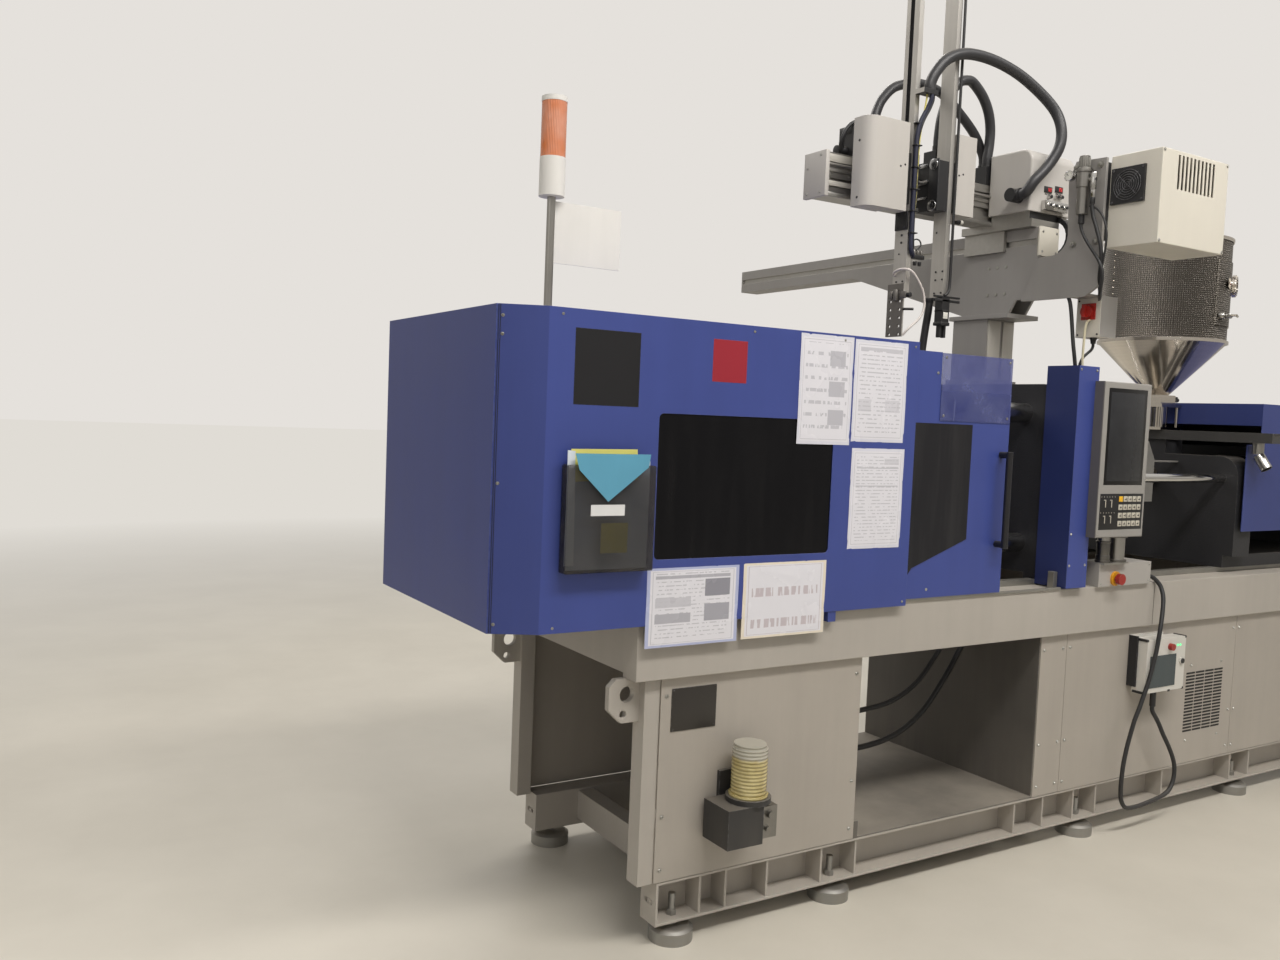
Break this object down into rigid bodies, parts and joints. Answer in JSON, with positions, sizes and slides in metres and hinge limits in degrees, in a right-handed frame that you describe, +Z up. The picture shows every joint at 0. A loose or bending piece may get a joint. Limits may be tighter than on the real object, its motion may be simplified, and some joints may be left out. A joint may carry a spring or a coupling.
{
  "type": "injection moulding machine",
  "caption": "Horizontal toggle-clamp plastic injection moulding machine on a welded bed, with covers, operator panel, hopper and a three-axis take-out robot.",
  "frame": {"origin": "on the floor, under the machine axis, a fixed distance past the fixed platen's mould face", "axes": "+X along the machine from the clamp end to the injection end, +Z up, the operator stands on the -Y side"},
  "size_m": [4.483, 2.21, 2.985],
  "materials": {
    "blue_paint": "satin",
    "grey_paint": "satin",
    "panel_plastic": "satin",
    "dark_window": "gloss",
    "blue_sheet": "gloss",
    "black_plastic": "satin",
    "cast_iron": "matte",
    "link_iron": "matte",
    "ground_steel": "satin",
    "chrome_rod": "polished",
    "heater_steel": "satin",
    "zinc": "satin",
    "stainless": "satin",
    "red_plastic": "gloss",
    "clear_plastic": "gloss",
    "smoked_plastic": "gloss",
    "lamp_plastic": "gloss",
    "paper": "matte",
    "robot_metal": "satin",
    "robot_white": "satin",
    "pendant_plastic": "satin",
    "cord_rubber": "matte"
  },
  "bodies": {
    "machine": {"bed_frame": "grey_paint", "base_frame": "grey_paint", "levelling_feet": "zinc", "bay_liner": "grey_paint", "service_panels": "grey_paint", "end_cover": "blue_paint", "front_cover": "blue_paint", "rear_cover": "blue_paint", "cover_window": "dark_window", "platen_covers": "blue_paint", "guide_rails": "ground_steel", "fixed_platen": "cast_iron", "tie_bars": "ground_steel", "toggle_support": "cast_iron", "pull_rods": "chrome_rod", "control_panel": "panel_plastic", "panel_base": "grey_paint", "grease_pump": "black_plastic", "grease_reservoir": "clear_plastic", "signal_tower": "lamp_plastic", "document_pocket": "smoked_plastic", "notice_sleeves": "paper", "robot_frame": "robot_metal", "robot_controller": "robot_white", "teach_pendant": "pendant_plastic", "pendant_cord": "cord_rubber"},
    "front_door": {"front_door": "blue_paint", "front_door_window": "dark_window", "front_door_guard": "blue_sheet", "front_door_handle": "black_plastic"},
    "injection_unit": {"injection_base": "cast_iron", "barrel": "heater_steel", "barrel_cover": "grey_paint", "injection_cover": "blue_paint", "hopper_rail": "ground_steel"},
    "hopper": {"hopper_shell": "stainless", "hopper_lid": "stainless"},
    "robot_carriage": {"robot_carriage": "robot_metal", "conduit_main": "cord_rubber", "conduit_motor": "cord_rubber", "conduit_sub": "cord_rubber"},
    "rear_door": {"rear_door": "blue_paint"},
    "moving_platen": {"moving_platen": "cast_iron"},
    "rear_link_upper": {"rear_link_upper": "link_iron"},
    "rear_link_lower": {"rear_link_lower": "link_iron"},
    "front_link_upper": {"front_link_upper": "link_iron"},
    "front_link_lower": {"front_link_lower": "link_iron"},
    "crosshead": {"crosshead": "link_iron"},
    "clamp_screw": {"clamp_screw": "ground_steel"},
    "ejector": {"ejector": "ground_steel"},
    "pusher_plate": {"pusher_plate": "cast_iron"},
    "feed_screw": {"feed_screw": "ground_steel"},
    "hopper_door": {"hopper_door": "stainless"},
    "hopper_gate": {"hopper_gate": "black_plastic"},
    "stop_button": {"stop_button": "red_plastic"},
    "main_switch": {"main_switch": "red_plastic"},
    "main_arm_carriage": {"main_arm_carriage": "robot_white"},
    "main_arm": {"main_arm": "robot_metal"},
    "sub_arm_carriage": {"sub_arm_carriage": "robot_white"},
    "sub_arm": {"sub_arm": "robot_metal"}
  },
  "joints": [
    {"name": "front_door_slide", "type": "slide", "parent": "machine", "child": "front_door", "axis": [1, 0, 0], "range_m": [-0.38, 0.32]},
    {"name": "rear_door_slide", "type": "slide", "parent": "machine", "child": "rear_door", "axis": [1, 0, 0], "range_m": [-0.7, 0]},
    {"name": "platen_slide", "type": "slide", "parent": "machine", "child": "moving_platen", "axis": [1, 0, 0], "range_m": [0, 0.2946]},
    {"name": "rear_link_upper_pivot", "type": "hinge", "parent": "machine", "child": "rear_link_upper", "pos_m": [-1.28034, 0, 1.61], "axis": [0, 1, 0], "range_deg": [-48.2, 0]},
    {"name": "rear_link_lower_pivot", "type": "hinge", "parent": "machine", "child": "rear_link_lower", "pos_m": [-1.28034, 0, 0.99], "axis": [0, 1, 0], "range_deg": [0, 48.2]},
    {"name": "upper_elbow", "type": "hinge", "parent": "rear_link_upper", "child": "front_link_upper", "pos_m": [-1.21017, 0, 1.38049], "axis": [0, 1, 0], "range_deg": [0, 96.4]},
    {"name": "lower_elbow", "type": "hinge", "parent": "rear_link_lower", "child": "front_link_lower", "pos_m": [-1.21017, 0, 1.21951], "axis": [0, 1, 0], "range_deg": [-96.4, 0]},
    {"name": "crosshead_slide", "type": "slide", "parent": "machine", "child": "crosshead", "axis": [1, 0, 0], "range_m": [0, 0.12]},
    {"name": "clamp_screw_spin", "type": "hinge", "parent": "machine", "child": "clamp_screw", "pos_m": [-1.28034, 0, 1.3], "axis": [1, 0, 0], "continuous": true},
    {"name": "ejector_slide", "type": "slide", "parent": "moving_platen", "child": "ejector", "axis": [1, 0, 0], "range_m": [0, 0.045]},
    {"name": "unit_slide", "type": "slide", "parent": "machine", "child": "injection_unit", "axis": [1, 0, 0], "range_m": [-0.13, 0.15]},
    {"name": "injection_slide", "type": "slide", "parent": "injection_unit", "child": "pusher_plate", "axis": [1, 0, 0], "range_m": [0, 0.15]},
    {"name": "feed_screw_spin", "type": "hinge", "parent": "pusher_plate", "child": "feed_screw", "pos_m": [1, 0, 1.3], "axis": [1, 0, 0], "continuous": true},
    {"name": "hopper_slide", "type": "slide", "parent": "injection_unit", "child": "hopper", "axis": [0, 1, 0], "range_m": [-0.45, 0]},
    {"name": "hopper_door_hinge", "type": "hinge", "parent": "hopper", "child": "hopper_door", "pos_m": [1.21708, -0.14372, 2.075], "axis": [0, 0, 1], "range_deg": [0, 110]},
    {"name": "hopper_gate_slide", "type": "slide", "parent": "hopper", "child": "hopper_gate", "axis": [1, 0, 0], "range_m": [0, 0.06]},
    {"name": "stop_button_press", "type": "slide", "parent": "machine", "child": "stop_button", "axis": [0, 1, 0], "range_m": [0, 0.006], "stiffness_N_per_m": 600},
    {"name": "main_switch_turn", "type": "hinge", "parent": "machine", "child": "main_switch", "pos_m": [-0.107, -0.4275, 1.893], "axis": [1, 0, 0], "range_deg": [0, 90]},
    {"name": "robot_traverse", "type": "slide", "parent": "machine", "child": "robot_carriage", "axis": [0, 1, 0], "range_m": [0, 1.2]},
    {"name": "main_kick", "type": "slide", "parent": "robot_carriage", "child": "main_arm_carriage", "axis": [1, 0, 0], "range_m": [-0.05, 0.08], "deforming": ["conduit_main", "conduit_motor", "conduit_sub"]},
    {"name": "sub_kick", "type": "slide", "parent": "robot_carriage", "child": "sub_arm_carriage", "axis": [1, 0, 0], "range_m": [-0.08, 0.18]},
    {"name": "main_lift", "type": "slide", "parent": "main_arm_carriage", "child": "main_arm", "axis": [0, 0, 1], "range_m": [-0.55, 0]},
    {"name": "sub_lift", "type": "slide", "parent": "sub_arm_carriage", "child": "sub_arm", "axis": [0, 0, 1], "range_m": [-0.55, 0]}
  ],
  "couplings": [
    {"joint": "rear_link_upper_pivot", "follows": "platen_slide", "rad_per_m": -2.8429},
    {"joint": "rear_link_lower_pivot", "follows": "platen_slide", "rad_per_m": 2.8429},
    {"joint": "upper_elbow", "follows": "platen_slide", "rad_per_m": 5.6857},
    {"joint": "lower_elbow", "follows": "platen_slide", "rad_per_m": -5.6857},
    {"joint": "crosshead_slide", "follows": "platen_slide", "ratio": 0.4},
    {"joint": "clamp_screw_spin", "follows": "platen_slide", "rad_per_m": 125.66}
  ]
}
